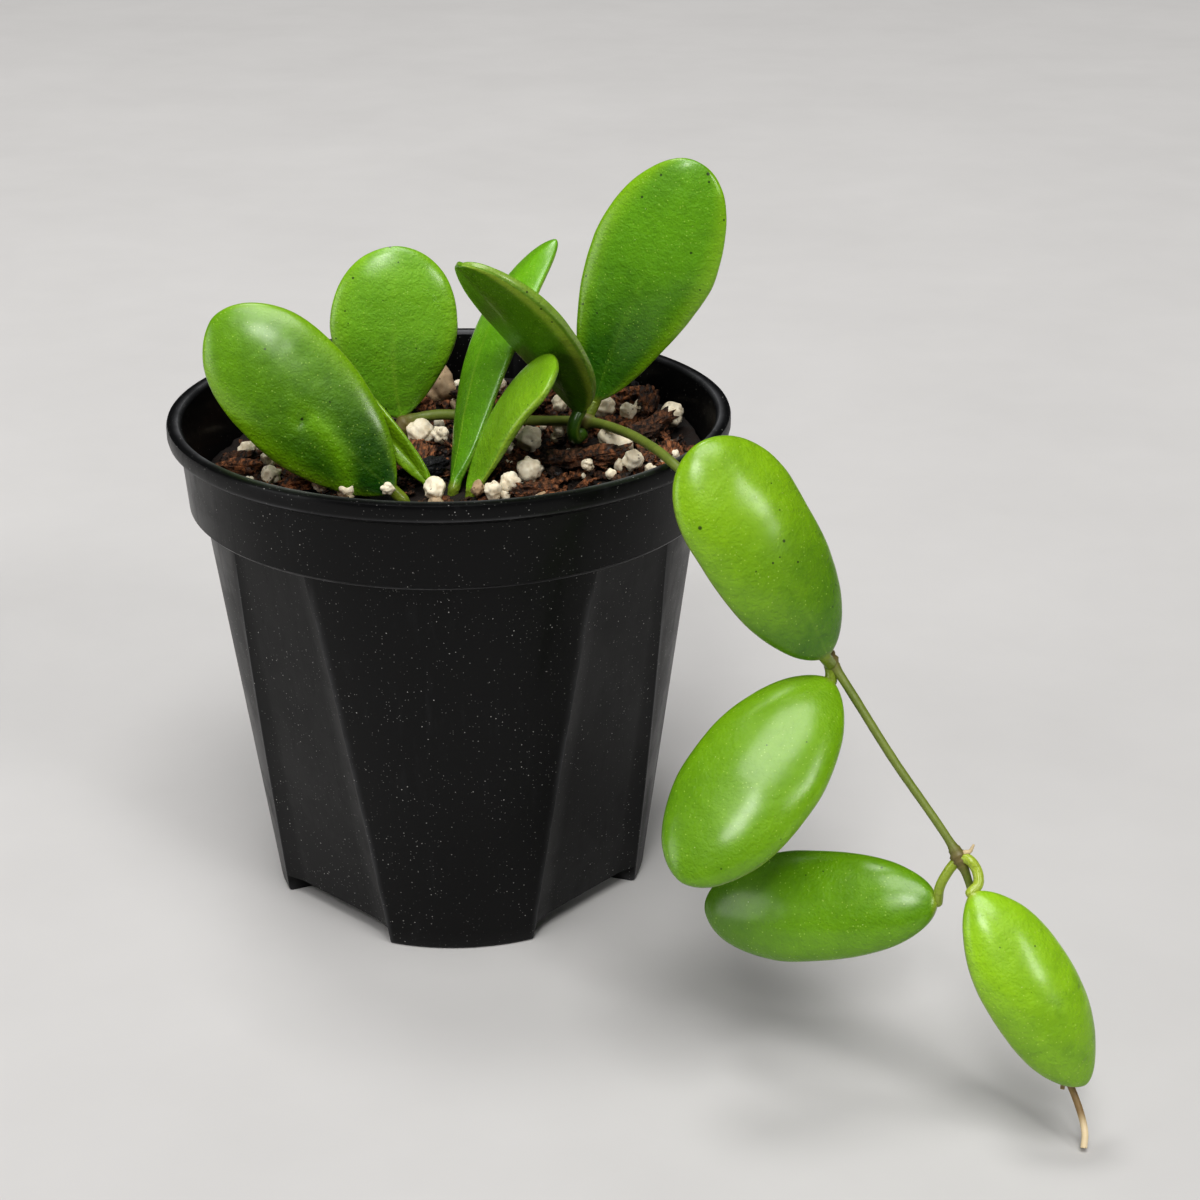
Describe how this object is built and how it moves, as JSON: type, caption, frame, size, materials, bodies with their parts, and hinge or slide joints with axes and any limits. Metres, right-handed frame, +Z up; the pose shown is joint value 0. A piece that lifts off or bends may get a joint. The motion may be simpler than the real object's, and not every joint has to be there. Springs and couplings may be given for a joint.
{
  "type": "potted hoya plant",
  "caption": "Young hoya with thick oval leaves in a black plastic nursery pot of bark mix, one stem trailing over the rim down to the surface it stands on.",
  "frame": {"origin": "on the surface that the pot stands on, under the middle of the whole plant's bounding box", "axes": "+Z up out of the pot; the stem trails towards +X and -Y; -Y is the side that the picture shows"},
  "size_m": [0.1838, 0.1724, 0.1598],
  "materials": {
    "pot_plastic": "satin",
    "potting_mix": "matte",
    "stem_bark": "satin",
    "leaf_deep_green": "satin",
    "leaf_light_green": "satin"
  },
  "bodies": {
    "root": {"nursery_pot": "pot_plastic", "potting_mix": "potting_mix", "trailing_stem": "stem_bark", "leaf_left_broad": "leaf_deep_green", "leaf_left_round": "leaf_deep_green", "leaf_left_tucked": "leaf_deep_green", "leaf_mid_tall": "leaf_deep_green", "leaf_mid_short": "leaf_deep_green", "leaf_mid_tilted": "leaf_deep_green", "leaf_right_upright": "leaf_deep_green", "leaf_trailing_first": "leaf_light_green", "leaf_trailing_second": "leaf_light_green", "leaf_trailing_third": "leaf_light_green", "leaf_trailing_fourth": "leaf_light_green"}
  },
  "joints": []
}
